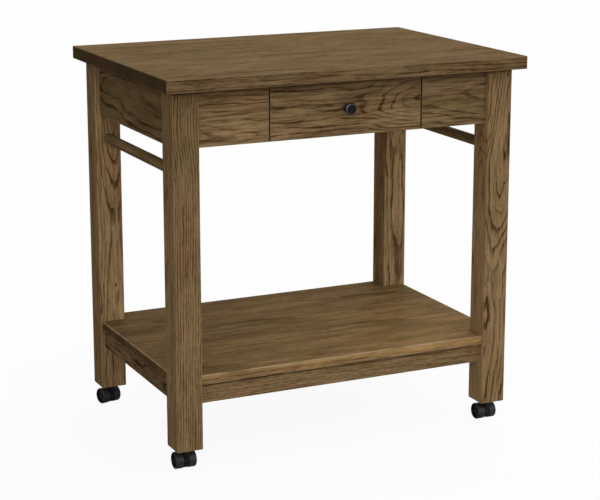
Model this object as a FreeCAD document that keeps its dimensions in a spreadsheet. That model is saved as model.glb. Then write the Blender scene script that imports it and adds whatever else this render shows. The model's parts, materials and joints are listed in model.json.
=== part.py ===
import FreeCAD, Part
import math
import os
import re

import Sketcher

# Kitchen cart in oak: overhanging worktop, four square legs, an apron with one drawer, a towel bar
# at each side, a low shelf on rails and four twin-wheel casters.
# Millimetres. +X is the cart's right seen from the front, +Y its back, +Z up. The origin is on the
# floor under the middle of the worktop. Left pieces have side -1, right pieces +1; front -1, back +1.

doc = FreeCAD.newDocument("kitchen_cart")
sheet = doc.addObject("Spreadsheet::Sheet", "dims")

# Driving sizes: name, value, what it measures.
DRIVING = (
    ("topWidth", 914, "worktop, side to side"),
    ("topDepth", 640, "worktop, front to back"),
    ("topThick", 31, "worktop thickness"),
    ("topHeight", 914, "floor to the working surface"),
    ("topEase", 2.5, "rounding of the worktop's edges"),
    ("sideOverhang", 23, "worktop past the legs at the sides"),
    ("frontOverhang", 30, "worktop past the legs at front and back"),
    ("legSize", 64, "square leg, across the flats"),
    ("legEase", 3, "rounding of a leg's long edges"),
    ("footEase", 2, "rounding of a leg's foot"),
    ("casterHeight", 52, "floor to the underside of a leg"),
    ("boardThick", 20, "aprons and rails"),
    ("boardEase", 1.5, "rounding of an exposed board edge"),
    ("apronHeight", 131, "aprons, under the worktop"),
    ("apronSetback", 13, "leg face to apron face"),
    ("railHeight", 45, "lower rails, under the shelf"),
    ("railSetback", 10, "leg face to lower rail face"),
    ("tenonLength", 20, "tenon on a board's end"),
    ("tenonThick", 8, "tenon, across"),
    ("tenonShoulder", 8, "board edge to tenon, above and below"),
    ("joineryGap", 0.1, "mortise round its tenon, bore round its dowel or screw"),
    ("mortiseBottom", 1, "end of a tenon or dowel to the bottom of its hole"),
    ("barRadius", 12.7, "towel bar"),
    ("barDrop", 59, "lower edge of an apron to a towel bar's middle"),
    ("barSeat", 18, "towel bar let into each leg"),
    ("shelfHeight", 227, "floor to the shelf's top"),
    ("shelfThick", 22, "shelf board"),
    ("shelfEase", 2, "rounding of the shelf's outer edges"),
    ("shelfSetback", 5, "leg face to shelf edge"),
    ("notchGap", 0.3, "shelf notch round a leg"),
    ("frontRailHigh", 20, "rails behind the drawer front"),
    ("frontRailDeep", 48, "rails behind the drawer front, front to back"),
    ("cleatSize", 18, "square cleats"),
    ("blockReach", 55, "corner block along an apron, from the leg"),
    ("boltRadius", 3, "corner bolt shank"),
    ("boltBite", 28, "corner bolt in the leg"),
    ("boltHeadRadius", 5.5, "corner bolt head, across the corners"),
    ("boltHeadHigh", 4, "corner bolt head"),
    ("washerRadius", 8, "washer under a corner bolt head"),
    ("washerThick", 1.5, "washer under a corner bolt head"),
    ("screwRadius", 2, "wood screw shank"),
    ("screwHeadRadius", 4, "wood screw head"),
    ("screwHeadHigh", 2.5, "wood screw head"),
    ("topScrewInset", 74, "leg to the outer screws of the worktop"),
    ("shelfScrewInset", 56, "leg to the outer screws of the shelf"),
    ("boxScrewSide", 45, "drawer box's side to a screw of the drawer front"),
    ("boxScrewEdge", 24, "drawer box's upper or lower edge to a screw of the drawer front"),
    ("screwBite", 16, "wood screw in the far board"),
    ("screwPoint", 4, "tapered end of a wood screw"),
    ("headSink", 3.5, "screw head below the wood's face"),
    ("drawerWidth", 387, "drawer front, side to side"),
    ("drawerGap", 2.5, "drawer front to the fixed apron pieces and to the worktop"),
    ("drawerSeat", 0.6, "drawer front to the rails behind it"),
    ("drawerEase", 1.2, "rounding of the drawer front's face"),
    ("boxWidth", 372, "drawer box, outside"),
    ("boxLength", 420, "drawer box, front to back"),
    ("boxThick", 12, "drawer box boards"),
    ("boxRabbet", 6, "box front and back let into the sides"),
    ("boxHeadroom", 2, "drawer box to the rail above it"),
    ("runGap", 0.4, "drawer box over its runners"),
    ("guideGap", 1, "drawer box to a runner's guide"),
    ("guideThick", 12, "upright guide on a runner"),
    ("guideHigh", 20, "upright guide, above the runner's ledge"),
    ("ledgeWide", 19, "runner's ledge under the drawer side"),
    ("panelThick", 6, "drawer bottom panel"),
    ("panelInset", 8, "drawer bottom panel above the box's lower edge"),
    ("grooveDepth", 5, "groove that holds the bottom panel"),
    ("grooveGap", 0.2, "groove round the bottom panel"),
    ("stopWidth", 60, "drawer stop block"),
    ("stopRise", 12, "drawer stop block above the box"),
    ("stopTail", 40, "drawer stop block below the box's upper edge"),
    ("knobRadius", 14, "knob head"),
    ("knobReach", 25, "drawer front to the knob's face"),
    ("knobBase", 10, "knob foot, radius"),
    ("knobBaseEdge", 1.5, "straight edge of the knob's foot"),
    ("knobNeck", 5.5, "knob neck, radius"),
    ("knobNeckStart", 4, "drawer front to the knob's neck"),
    ("knobNeckEnd", 11, "drawer front to the flare under the knob's head"),
    ("knobRim", 4, "straight rim of the knob head"),
    ("knobBevel", 3.5, "bevel round the knob's face"),
    ("knobBore", 12.5, "screw hole in the knob"),
    ("wheelRadius", 20, "caster wheel"),
    ("wheelWidth", 18.5, "caster wheel, one of the pair"),
    ("wheelShoulder", 3, "rounded outer edge of a caster wheel"),
    ("wheelWall", 4, "tread to the recess in a wheel's inner face"),
    ("wheelRecess", 5, "depth of the recess in a wheel's inner face"),
    ("wheelDish", 2.5, "hollow in a wheel's outer face"),
    ("wheelLip", 1.5, "flat lip round that hollow"),
    ("wheelSlope", 3, "slope from the lip down into the hollow"),
    ("hubRadius", 6, "raised hub in the hollow"),
    ("hubRise", 1.2, "raised hub above the hollow's floor"),
    ("webThick", 12.5, "caster body between the wheels"),
    ("webRadius", 19, "caster body round the axle"),
    ("webInset", 1, "caster body's neck inside its round part"),
    ("wheelGap", 0.5, "caster body to a wheel"),
    ("axleRadius", 3, "caster axle"),
    ("axleGap", 0.05, "wheel bore round the axle"),
    ("axleSeat", 0.02, "caster body bore round the axle"),
    ("axleEnd", 12, "axle in a wheel"),
    ("trail", 10, "stem axis to wheel axis"),
    ("flangeRadius", 12, "swivel flange above the wheels"),
    ("flangeThick", 5, "swivel flange above the wheels"),
    ("flangeEdge", 1, "bevel round the swivel flange"),
    ("flangeGap", 1.5, "wheel to swivel flange"),
    ("collarRadius", 7, "thrust collar on the stem"),
    ("stemRadius", 4, "caster stem"),
    ("stemLength", 34, "caster stem above its collar"),
    ("stemPoint", 1, "bevel on the stem's end"),
    ("stemGap", 0.08, "socket bore round the stem"),
    ("thrustGap", 0.3, "thrust collar to the socket"),
    ("socketRadius", 5.5, "socket sleeve"),
    ("socketRim", 10, "socket rim under the leg"),
    ("socketRimThick", 1.5, "socket rim under the leg"),
    ("socketDepth", 38, "socket in the leg"),
    ("socketRoof", 1.5, "closed end of the socket"),
    ("frontLeftHeading", 0, "turn of a caster about its stem, in degrees"),
    ("frontRightHeading", 0, "turn of a caster about its stem, in degrees"),
    ("backLeftHeading", 13, "turn of a caster about its stem, in degrees"),
    ("backRightHeading", -8, "turn of a caster about its stem, in degrees"),
)

# Sizes worked out from the driving ones.
DERIVED = (
    ("legHalf", "legSize/2"),
    ("legX", "topWidth/2 - sideOverhang - legHalf"),
    ("legY", "topDepth/2 - frontOverhang - legHalf"),
    ("caseTop", "topHeight - topThick"),
    ("legLength", "caseTop - casterHeight"),
    ("apronBase", "caseTop - apronHeight"),
    ("barHeight", "apronBase - barDrop"),
    ("bayX", "legX - legHalf"),
    ("bayY", "legY - legHalf"),
    ("apronLine", "legHalf - apronSetback - boardThick/2"),
    ("railLine", "legHalf - railSetback - boardThick/2"),
    ("apronX", "legX + apronLine"),
    ("apronY", "legY + apronLine"),
    ("apronInY", "apronY - boardThick/2"),
    ("railX", "legX + railLine"),
    ("railY", "legY + railLine"),
    ("railInY", "railY - boardThick/2"),
    ("railTop", "shelfHeight - shelfThick"),
    ("railBase", "railTop - railHeight"),
    ("mortiseDeep", "tenonLength + mortiseBottom"),
    ("mortiseWide", "tenonThick + 2*joineryGap"),
    ("bladeGap", "tenonShoulder - joineryGap"),
    ("apronBlade", "apronHeight - 2*bladeGap"),
    ("railBlade", "railHeight - 2*bladeGap"),
    ("shelfX", "legX + legHalf - shelfSetback"),
    ("shelfY", "legY + legHalf - shelfSetback"),
    ("notchX", "bayX - notchGap"),
    ("notchY", "bayY - notchGap"),
    ("openHalf", "drawerWidth/2 + drawerGap"),
    ("sidePiece", "bayX - openHalf"),
    ("frontRailY", "frontRailDeep/2 - apronInY"),
    ("lowRailTop", "apronBase + frontRailHigh"),
    ("highRailBase", "caseTop - frontRailHigh"),
    ("tongueWide", "apronInY - bayY - 2*tenonShoulder"),
    ("railBack", "frontRailDeep - apronInY"),
    ("runLength", "apronInY - railBack"),
    ("runMiddle", "(apronInY + railBack)/2"),
    ("cleatFace", "apronInY - cleatSize"),
    ("kickLength", "cleatFace - railBack"),
    ("kickMiddle", "(cleatFace + railBack)/2"),
    ("ledgeInner", "boxWidth/2 + guideGap - ledgeWide"),
    ("guideInner", "boxWidth/2 + guideGap"),
    ("guideOuter", "guideInner + guideThick"),
    ("blockInset", "apronSetback + boardThick - legHalf"),
    ("blockTip", "legHalf + blockReach"),
    ("blockFace", "(blockTip + blockInset)/2"),
    ("blockHigh", "highRailBase - lowRailTop"),
    ("boltLevel", "lowRailTop + blockHigh/2"),
    ("boltGrip", "(blockFace - legHalf)*sqrt(2)"),
    ("drawerThick", "boardThick - drawerSeat"),
    ("drawerHigh", "apronHeight - drawerGap"),
    ("drawerFace", "-(apronInY + boardThick)"),
    ("boxStart", "drawerFace + drawerThick"),
    ("boxBase", "lowRailTop + runGap"),
    ("boxHigh", "highRailBase - boxHeadroom - boxBase"),
    ("boxEnd", "boxStart + boxLength"),
    ("panelTop", "panelInset + panelThick"),
    ("crossLength", "boxWidth - 2*(boxThick - boxRabbet) - 2*joineryGap"),
    ("knobLevel", "apronBase + drawerHigh/2"),
    ("wheelInner", "webThick/2 + wheelGap"),
    ("flangeBase", "2*wheelRadius + flangeGap"),
    ("flangeTop", "flangeBase + flangeThick"),
    ("collarTop", "casterHeight - socketRimThick - thrustGap"),
)

SIDES = ((-1, "left"), (1, "right"))
ENDS = ((-1, "front"), (1, "back"))
CORNERS = [(end, side, "%s_%s" % (endWord, sideWord)) for end, endWord in ENDS for side, sideWord in SIDES]

known = [row[0] for row in DRIVING] + [row[0] for row in DERIVED]
pieces = []


def inSheet(formula):
    """The same formula with each size name pointing at its cell."""
    return re.sub(r"[A-Za-z]\w*", lambda m: "dims." + m.group() if m.group() in known else m.group(), formula)


def fillSheet():
    """Writes the driving sizes and the worked-out ones, each under its own name."""
    for row, (name, value, note) in enumerate(DRIVING, start=1):
        sheet.set("A%d" % row, name)
        sheet.set("B%d" % row, str(value))
        sheet.set("C%d" % row, note)
        sheet.setAlias("B%d" % row, name)
    for row, (name, formula) in enumerate(DERIVED, start=len(DRIVING) + 1):
        sheet.set("A%d" % row, name)
        sheet.set("B%d" % row, "=" + formula)
        sheet.setAlias("B%d" % row, name)
    doc.recompute()


def number(formula):
    """A formula's value, worked out in a spare cell."""
    sheet.set("E1", "=" + formula)
    sheet.recomputeCells("E1")
    return float(sheet.get("E1"))


def bind(item, **formulas):
    """Ties properties of an object to formulas; in a name, two underscores stand for a dot."""
    for name, formula in formulas.items():
        item.setExpression(name.replace("__", "."), inSheet(formula))


def place(item, x="0", y="0", z="0", turn=None):
    """Puts an object at three formulas, turned first where a rotation is given."""
    item.Placement = FreeCAD.Placement(FreeCAD.Vector(0, 0, 0), turn or FreeCAD.Rotation())
    bind(item, Placement__Base__x=x, Placement__Base__y=y, Placement__Base__z=z)


def newBody(label, kept=True):
    """A body under its own name; one that isn't kept goes into a group."""
    body = doc.addObject("PartDesign::Body", label)
    body.Label = label
    if kept:
        pieces.append(body)
    return body


def newSketch(body, role, lift="0"):
    """A sketch on one of the body's own origin planes, lifted along its normal."""
    sketch = body.newObject("Sketcher::SketchObject", body.Name + "_sketch")
    plane = [item for item in body.Origin.OriginFeatures if item.Role == role][0]
    sketch.AttachmentSupport = [(plane, "")]
    sketch.MapMode = "FlatFace"
    bind(sketch, AttachmentOffset__Base__z=lift)
    return sketch


def pin(sketch, edge, end, x, y):
    """Fixes one point of an edge at two formulas from the sketch's origin."""
    for kind, formula in (("DistanceX", x), ("DistanceY", y)):
        index = sketch.addConstraint(Sketcher.Constraint(kind, -1, 1, edge, end, number(formula)))
        sketch.setExpression("Constraints[%d]" % index, inSheet(formula))


def outline(sketch, points):
    """A closed straight-sided outline through pairs of formulas."""
    spots = [FreeCAD.Vector(number(x), number(y), 0) for x, y in points]
    count = len(spots)
    for index in range(count):
        sketch.addGeometry(Part.LineSegment(spots[index], spots[(index + 1) % count]))
    for index, (x, y) in enumerate(points):
        sketch.addConstraint(Sketcher.Constraint("Coincident", index, 2, (index + 1) % count, 1))
        pin(sketch, index, 1, x, y)


def rectangle(sketch, left, low, right, high):
    outline(sketch, [(left, low), (right, low), (right, high), (left, high)])


def circle(sketch, radius, x="0", y="0"):
    """A round outline about two formulas."""
    centre = FreeCAD.Vector(number(x), number(y), 0)
    edge = sketch.addGeometry(Part.Circle(centre, FreeCAD.Vector(0, 0, 1), number(radius)))
    pin(sketch, edge, 3, x, y)
    index = sketch.addConstraint(Sketcher.Constraint("Radius", edge, number(radius)))
    sketch.setExpression("Constraints[%d]" % index, inSheet(radius))


def pad(body, sketch, length, side="One side"):
    feature = body.newObject("PartDesign::Pad", body.Name + "_pad")
    feature.Profile = sketch
    feature.SideType = side
    bind(feature, Length=length)
    sketch.Visibility = False
    return feature


def turned(body, points):
    """A solid of revolution about the body's Z from points given as radius and height."""
    sketch = newSketch(body, "XZ_Plane")
    outline(sketch, points)
    feature = body.newObject("PartDesign::Revolution", body.Name + "_turned")
    feature.Profile = sketch
    feature.ReferenceAxis = (sketch, ["V_Axis"])
    feature.Angle = 360
    return feature


def cutBox(body, x, y, z, length, width, height):
    """Takes a box away from the body, from its lowest corner."""
    feature = body.newObject("PartDesign::SubtractiveBox", body.Name + "_cut")
    bind(feature, Length=length, Width=width, Height=height)
    place(feature, x, y, z)
    return feature


def drill(body, radius, depth, x, y, z, towards=(0, 0, 1)):
    """Takes a round bore away from the body, from a point along a direction."""
    feature = body.newObject("PartDesign::SubtractiveCylinder", body.Name + "_bore")
    bind(feature, Radius=radius, Height=depth)
    place(feature, x, y, z, FreeCAD.Rotation(FreeCAD.Vector(0, 0, 1), FreeCAD.Vector(*towards)))
    return feature


def edgesWhere(body, wanted):
    """Names of the body's edges that a test on the edge's box accepts."""
    body.recompute(True)
    edges = body.Tip.Shape.Edges
    return ["Edge%d" % (i + 1) for i, edge in enumerate(edges) if wanted(edge.BoundBox)]


def ease(body, radius, wanted):
    """Rounds the chosen edges."""
    names = edgesWhere(body, wanted)
    base = body.Tip
    feature = body.newObject("PartDesign::Fillet", body.Name + "_ease")
    feature.Base = (base, names)
    bind(feature, Radius=radius)


def same(a, b):
    return abs(a - b) < 1e-4


def along(axis, box):
    """True if an edge's box shows a straight edge along X, Y or Z."""
    spans = {"x": box.XLength, "y": box.YLength, "z": box.ZLength}
    return spans[axis] > 1e-3 and all(span < 1e-3 for key, span in spans.items() if key != axis)


def board(label, axis, length, thick, high, tenons=()):
    """A straight board lying along X or Y, its underside at Z 0 and its middle at the origin.
    Each tenon is named by the end that carries it, -1 or 1."""
    body = newBody(label)
    role = "YZ_Plane" if axis == "x" else "XZ_Plane"
    sketch = newSketch(body, role)
    rectangle(sketch, "-%s/2" % thick, "0", "%s/2" % thick, high)
    pad(body, sketch, length, "Symmetric")
    if tenons:
        shift = sum(tenons) * (1 if axis == "x" else -1)
        blade = newSketch(body, role, "%d*tenonLength/2" % shift)
        rectangle(blade, "-tenonThick/2", "tenonShoulder", "tenonThick/2", high + " - tenonShoulder")
        pad(body, blade, "%s + %d*tenonLength" % (length, len(tenons)), "Symmetric")
    return body


def easeLow(body, axis):
    """Rounds a board's two long lower edges."""
    ease(body, "boardEase", lambda box: along(axis, box) and same(box.ZMax, 0))


def group(label, members):
    """Separate solids of the same kind, kept as one named piece."""
    item = doc.addObject("Part::Compound", label)
    item.Label = label
    item.Links = members
    pieces.append(item)


def makeTop(screwSpots):
    """Worktop with eased edges and blind holes for the screws below."""
    body = newBody("worktop")
    sketch = newSketch(body, "XY_Plane")
    rectangle(sketch, "-topWidth/2", "-topDepth/2", "topWidth/2", "topDepth/2")
    pad(body, sketch, "topThick")
    ease(body, "topEase", lambda box: True)
    for x, y in screwSpots:
        drill(body, "screwRadius + joineryGap", "screwBite + mortiseBottom", x, y, "0")
    place(body, z="caseTop")


def makeLeg(label, side, end):
    """Square leg with mortises for two aprons and two lower rails, in front for the drawer's rails
    too, and bores for a towel bar, a corner bolt and the caster socket. Its origin is its foot's middle."""
    body = newBody(label)
    sketch = newSketch(body, "XY_Plane")
    rectangle(sketch, "-legHalf", "-legHalf", "legHalf", "legHalf")
    pad(body, sketch, "legLength")
    ease(body, "legEase", lambda box: along("z", box))
    ease(body, "footEase", lambda box: same(box.ZMax, 0))
    nearX = "legHalf - mortiseDeep" if side < 0 else "-legHalf"
    nearY = "legHalf - mortiseDeep" if end < 0 else "-legHalf"
    for word in ("apron", "rail"):
        level = "%sBase - casterHeight + bladeGap" % word
        lines = ["%d*%sLine - mortiseWide/2" % (way, word) for way in (side, end)]
        cutBox(body, nearX, lines[1], level, "mortiseDeep", "mortiseWide", word + "Blade")
        cutBox(body, lines[0], nearY, level, "mortiseWide", "mortiseDeep", word + "Blade")
    for base in ("apronBase", "highRailBase") if end < 0 else ():
        level = "%s - casterHeight + (frontRailHigh - mortiseWide)/2" % base
        cutBox(body, nearX, "legY - apronInY + bladeGap", level, "mortiseDeep", "tongueWide + 2*joineryGap",
               "mortiseWide")
    drill(body, "barRadius + joineryGap", "barSeat + mortiseBottom", "0", "%d*legHalf" % -end,
          "barHeight - casterHeight", (0, end, 0))
    drill(body, "boltRadius + joineryGap", "boltBite + mortiseBottom", "%d*legHalf" % -side,
          "%d*legHalf" % -end, "boltLevel - casterHeight", (side, end, 0))
    drill(body, "socketRadius + joineryGap", "socketDepth + mortiseBottom", "0", "0", "0")
    place(body, "%d*legX" % side, "%d*legY" % end, "casterHeight")


def makeAprons():
    """Back and side aprons, and the two fixed front pieces beside the drawer."""
    back = board("back_apron", "x", "2*bayX", "boardThick", "apronHeight", (-1, 1))
    place(back, "0", "apronY", "apronBase")
    easeLow(back, "x")
    for side, word in SIDES:
        apron = board("side_apron_" + word, "y", "2*bayY", "boardThick", "apronHeight", (-1, 1))
        place(apron, "%d*apronX" % side, "0", "apronBase")
        easeLow(apron, "y")
        front = board("front_apron_" + word, "x", "sidePiece", "boardThick", "apronHeight", (side,))
        place(front, "%d*(bayX + openHalf)/2" % side, "-apronY", "apronBase")
        easeLow(front, "x")


def makeLowerRails():
    """Rails under the shelf, tenoned into the legs."""
    for end, word in ENDS:
        rail = board("lower_rail_" + word, "x", "2*bayX", "boardThick", "railHeight", (-1, 1))
        place(rail, "0", "%d*railY" % end, "railBase")
        easeLow(rail, "x")
    for side, word in SIDES:
        rail = board("lower_rail_" + word, "y", "2*bayY", "boardThick", "railHeight", (-1, 1))
        place(rail, "%d*railX" % side, "0", "railBase")
        easeLow(rail, "y")


def makeShelf(screwSpots):
    """Shelf board notched round the four legs."""
    body = newBody("shelf")
    sketch = newSketch(body, "XY_Plane")
    quarter = [("shelfX", "notchY"), ("notchX", "notchY"), ("notchX", "shelfY")]
    points = []
    for side, end, order in ((1, 1, 1), (-1, 1, -1), (-1, -1, 1), (1, -1, -1)):
        corner = [("%d*%s" % (side, x), "%d*%s" % (end, y)) for x, y in quarter]
        points += corner[::order]
    outline(sketch, points)
    pad(body, sketch, "shelfThick")
    edgeX, edgeY = number("shelfX"), number("shelfY")
    ease(body, "shelfEase", lambda box: (along("x", box) and same(abs(box.YMax), edgeY))
         or (along("y", box) and same(abs(box.XMax), edgeX)))
    for x, y in screwSpots:
        drill(body, "screwRadius + joineryGap", "screwBite + mortiseBottom", x, y, "0")
    place(body, z="railTop")


def makeTowelBars():
    """Round bars let into the front and back legs."""
    for side, word in SIDES:
        body = newBody("towel_bar_" + word)
        sketch = newSketch(body, "XZ_Plane")
        circle(sketch, "barRadius")
        pad(body, sketch, "2*(bayY + barSeat)", "Symmetric")
        place(body, "%d*legX" % side, "0", "barHeight")


def sinkHoles(body, spots, depth):
    """Screw holes through a board from below, each widened to take the head."""
    for x, y in spots:
        drill(body, "screwRadius + joineryGap", depth, x, y, "0")
        drill(body, "screwHeadRadius + joineryGap", "headSink", x, y, "0")


def makeScrew(label, grip, x, y, z, turn=None):
    """Wood screw with a round head under Z 0 and its point up; grip is the board it passes."""
    body = newBody(label, False)
    tip = "%s + screwBite" % grip
    turned(body, [("0", "-screwHeadHigh"), ("screwHeadRadius", "-screwHeadHigh"), ("screwHeadRadius", "0"),
                  ("screwRadius", "0"), ("screwRadius", "%s - screwPoint" % tip), ("0", tip)])
    place(body, x, y, z, turn)
    return body


def makeFrontRails(topSpots):
    """Two flat rails behind the drawer front, tongued into the front legs: the upper one carries the
    top's screws, the lower one carries the drawer."""
    for word, level in (("top", "highRailBase"), ("bottom", "apronBase")):
        rail = board("front_%s_rail" % word, "x", "2*bayX", "frontRailDeep", "frontRailHigh")
        tongue = newSketch(rail, "YZ_Plane")
        start = "tenonShoulder - frontRailDeep/2"
        rectangle(tongue, start, "(frontRailHigh - tenonThick)/2", start + " + tongueWide",
                  "(frontRailHigh + tenonThick)/2")
        pad(rail, tongue, "2*(bayX + tenonLength)", "Symmetric")
        place(rail, "0", "frontRailY", level)
        if word == "top":
            sinkHoles(rail, [(x, "0") for x in topSpots], "frontRailHigh")


def makeCleats(topSpots, shelfSpots):
    """Square bars inside the back apron, under the top, and inside the lower rails, under the shelf."""
    cleat = board("back_cleat", "x", "2*bayX", "cleatSize", "cleatSize")
    sinkHoles(cleat, [(x, "0") for x in topSpots], "cleatSize")
    place(cleat, "0", "cleatFace + cleatSize/2", "caseTop - cleatSize")
    for end, word in ENDS:
        cleat = board("shelf_cleat_" + word, "x", "2*bayX", "cleatSize", "cleatSize")
        sinkHoles(cleat, [(x, "0") for x in shelfSpots], "cleatSize")
        place(cleat, "0", "%d*(railInY - cleatSize/2)" % end, "railTop - cleatSize")


def makeCornerBlock(label, side, end):
    """Block across a corner of the apron, notched round the leg's inner corner. Its own origin is
    the leg's middle."""
    body = newBody(label)
    sketch = newSketch(body, "XY_Plane")
    plan = [("blockInset", "legHalf"), ("legHalf", "legHalf"), ("legHalf", "blockInset"),
            ("blockTip", "blockInset"), ("blockInset", "blockTip")]
    outline(sketch, [("%d*%s" % (-side, x), "%d*%s" % (-end, y)) for x, y in plan])
    pad(body, sketch, "blockHigh")
    drill(body, "boltRadius + joineryGap", "2*boltGrip", "%d*blockFace" % -side, "%d*blockFace" % -end,
          "blockHigh/2", (side, end, 0))
    place(body, "%d*legX" % side, "%d*legY" % end, "lowRailTop")


def makeCornerBolt(side, end):
    """Hexagon-headed bolt and washer on the block's face, its shank in the leg."""
    body = newBody("corner_bolt", False)
    turned(body, [("0", "0"), ("washerRadius", "0"), ("washerRadius", "washerThick"),
                  ("boltRadius", "washerThick"), ("boltRadius", "washerThick + boltGrip + boltBite"),
                  ("0", "washerThick + boltGrip + boltBite")])
    head = newSketch(body, "XY_Plane")
    corners = [(math.cos(math.radians(60 * k)), math.sin(math.radians(60 * k))) for k in range(6)]
    outline(head, [("boltHeadRadius*%.6f" % x, "boltHeadRadius*%.6f" % y) for x, y in corners])
    feature = pad(body, head, "boltHeadHigh")
    feature.Reversed = True
    spot = "(blockFace + washerThick/sqrt(2))"
    place(body, "%d*legX - %d*%s" % (side, side, spot), "%d*legY - %d*%s" % (end, end, spot), "boltLevel",
          FreeCAD.Rotation(FreeCAD.Vector(0, 0, 1), FreeCAD.Vector(side, end, 0)))
    return body


def makeRunners():
    """Runners that carry and guide the drawer, and kickers above it that keep it from tipping."""
    for side, word in SIDES:
        body = newBody("drawer_runner_" + word)
        sketch = newSketch(body, "XZ_Plane")
        inner, step, outer = ["%d*%s" % (side, x) for x in ("ledgeInner", "guideInner", "guideOuter")]
        upper = "frontRailHigh + guideHigh"
        outline(sketch, [(inner, "0"), (outer, "0"), (outer, upper), (step, upper), (step, "frontRailHigh"),
                         (inner, "frontRailHigh")])
        pad(body, sketch, "runLength", "Symmetric")
        place(body, "0", "runMiddle", "apronBase")
        body = newBody("drawer_kicker_" + word)
        sketch = newSketch(body, "XZ_Plane")
        rectangle(sketch, inner, "0", outer, "frontRailHigh")
        pad(body, sketch, "kickLength", "Symmetric")
        place(body, "0", "kickMiddle", "highRailBase")


def makeDrawerFront():
    """Flush drawer front, with holes behind for the box front's screws and through for the knob's."""
    body = newBody("drawer_front")
    sketch = newSketch(body, "YZ_Plane")
    rectangle(sketch, "0", "0", "drawerThick", "drawerHigh")
    pad(body, sketch, "drawerWidth", "Symmetric")
    ease(body, "drawerEase", lambda box: same(box.YMax, 0) and same(box.YMin, 0))
    drill(body, "screwRadius + joineryGap", "drawerThick", "0", "0", "drawerHigh/2", (0, 1, 0))
    for x, z in DRAWER_SCREWS:
        drill(body, "screwRadius + joineryGap", "screwBite + mortiseBottom", x, "drawerThick",
              "boxBase - apronBase + " + z, (0, -1, 0))
    place(body, "0", "drawerFace", "apronBase")


def makeDrawerBox():
    """Box behind the drawer front: two sides, a front and a back let into them, and a bottom panel
    in grooves that slides in under the back."""
    middle = "boxStart + boxLength/2"
    grooveX = "boxWidth/2 - boxThick - grooveGap"
    for side, word in SIDES:
        body = board("drawer_side_" + word, "y", "boxLength", "boxThick", "boxHigh")
        inner = "-boxThick/2" if side > 0 else "boxThick/2 - boxRabbet"
        groove = "-boxThick/2" if side > 0 else "boxThick/2 - grooveDepth"
        for start in ("-boxLength/2", "boxLength/2 - boxThick"):
            cutBox(body, inner, start, "0", "boxRabbet", "boxThick", "boxHigh")
        cutBox(body, groove, "-boxLength/2", "panelInset - grooveGap", "grooveDepth", "boxLength",
               "panelThick + 2*grooveGap")
        place(body, "%d*(boxWidth - boxThick)/2" % side, middle, "boxBase")
    front = board("drawer_box_front", "x", "crossLength", "boxThick", "boxHigh")
    cutBox(front, "-crossLength/2", "boxThick/2 - grooveDepth", "panelInset - grooveGap", "crossLength",
           "grooveDepth", "panelThick + 2*grooveGap")
    drill(front, "screwRadius + joineryGap", "boxThick", "0", "-boxThick/2",
          "knobLevel - boxBase", (0, 1, 0))
    for x, z in DRAWER_SCREWS:
        drill(front, "screwRadius + joineryGap", "boxThick", x, "-boxThick/2", z, (0, 1, 0))
    place(front, "0", "boxStart + boxThick/2", "boxBase")
    back = board("drawer_back", "x", "crossLength", "boxThick", "boxHigh - panelTop - grooveGap")
    place(back, "0", "boxEnd - boxThick/2", "boxBase + panelTop + grooveGap")
    panel = newBody("drawer_bottom")
    sketch = newSketch(panel, "XY_Plane")
    reach = "(%s + grooveDepth)" % grooveX
    rectangle(sketch, "-" + reach, "boxThick - grooveDepth + grooveGap", reach, "boxLength")
    pad(panel, sketch, "panelThick")
    place(panel, "0", "boxStart", "boxBase + panelInset")


def makeDrawerStop():
    """Block inside the drawer's back that meets the upper front rail when the drawer is right out."""
    body = board("drawer_stop", "x", "stopWidth", "boxThick", "stopTail + stopRise")
    place(body, "0", "boxEnd - boxThick - boxThick/2", "boxBase + boxHigh - stopTail")


def makeKnob():
    """Turned knob: foot, waisted neck and a flat bevelled head, with the screw that holds it."""
    outward = FreeCAD.Rotation(FreeCAD.Vector(0, 0, 1), FreeCAD.Vector(0, -1, 0))
    body = newBody("drawer_knob")
    bore = "screwRadius + joineryGap"
    turned(body, [(bore, "0"), ("knobBase", "0"), ("knobBase", "knobBaseEdge"), ("knobNeck", "knobNeckStart"),
                  ("knobNeck", "knobNeckEnd"), ("knobRadius", "knobReach - knobBevel - knobRim"),
                  ("knobRadius", "knobReach - knobBevel"), ("knobRadius - knobBevel", "knobReach"),
                  ("0", "knobReach"), ("0", "knobBore"), (bore, "knobBore")])
    place(body, "0", "drawerFace", "knobLevel", outward)
    screw = newBody("knob_screw")
    tip = "boxThick + drawerThick + knobBore - mortiseBottom"
    turned(screw, [("0", "-screwHeadHigh"), ("screwHeadRadius", "-screwHeadHigh"), ("screwHeadRadius", "0"),
                   ("screwRadius", "0"), ("screwRadius", tip), ("0", tip)])
    place(screw, "0", "boxStart + boxThick", "knobLevel", outward)


def makeScrews(topSpots, shelfSpots):
    """Wood screws: up into the top and the shelf, and forward into the drawer front."""
    frame = []
    for x in topSpots:
        frame.append(makeScrew("top_screw", "frontRailHigh - headSink", x, "frontRailY",
                               "highRailBase + headSink"))
        frame.append(makeScrew("top_screw", "cleatSize - headSink", x, "cleatFace + cleatSize/2",
                               "caseTop - cleatSize + headSink"))
    for x in shelfSpots:
        for end in (-1, 1):
            frame.append(makeScrew("shelf_screw", "cleatSize - headSink", x,
                                   "%d*(railInY - cleatSize/2)" % end, "railTop - cleatSize + headSink"))
    group("frame_screws", frame)
    forward = FreeCAD.Rotation(FreeCAD.Vector(0, 0, 1), FreeCAD.Vector(0, -1, 0))
    held = [makeScrew("drawer_screw", "boxThick", x, "boxStart + boxThick", "boxBase + " + z, forward)
            for x, z in DRAWER_SCREWS]
    group("drawer_screws", held)


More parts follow.
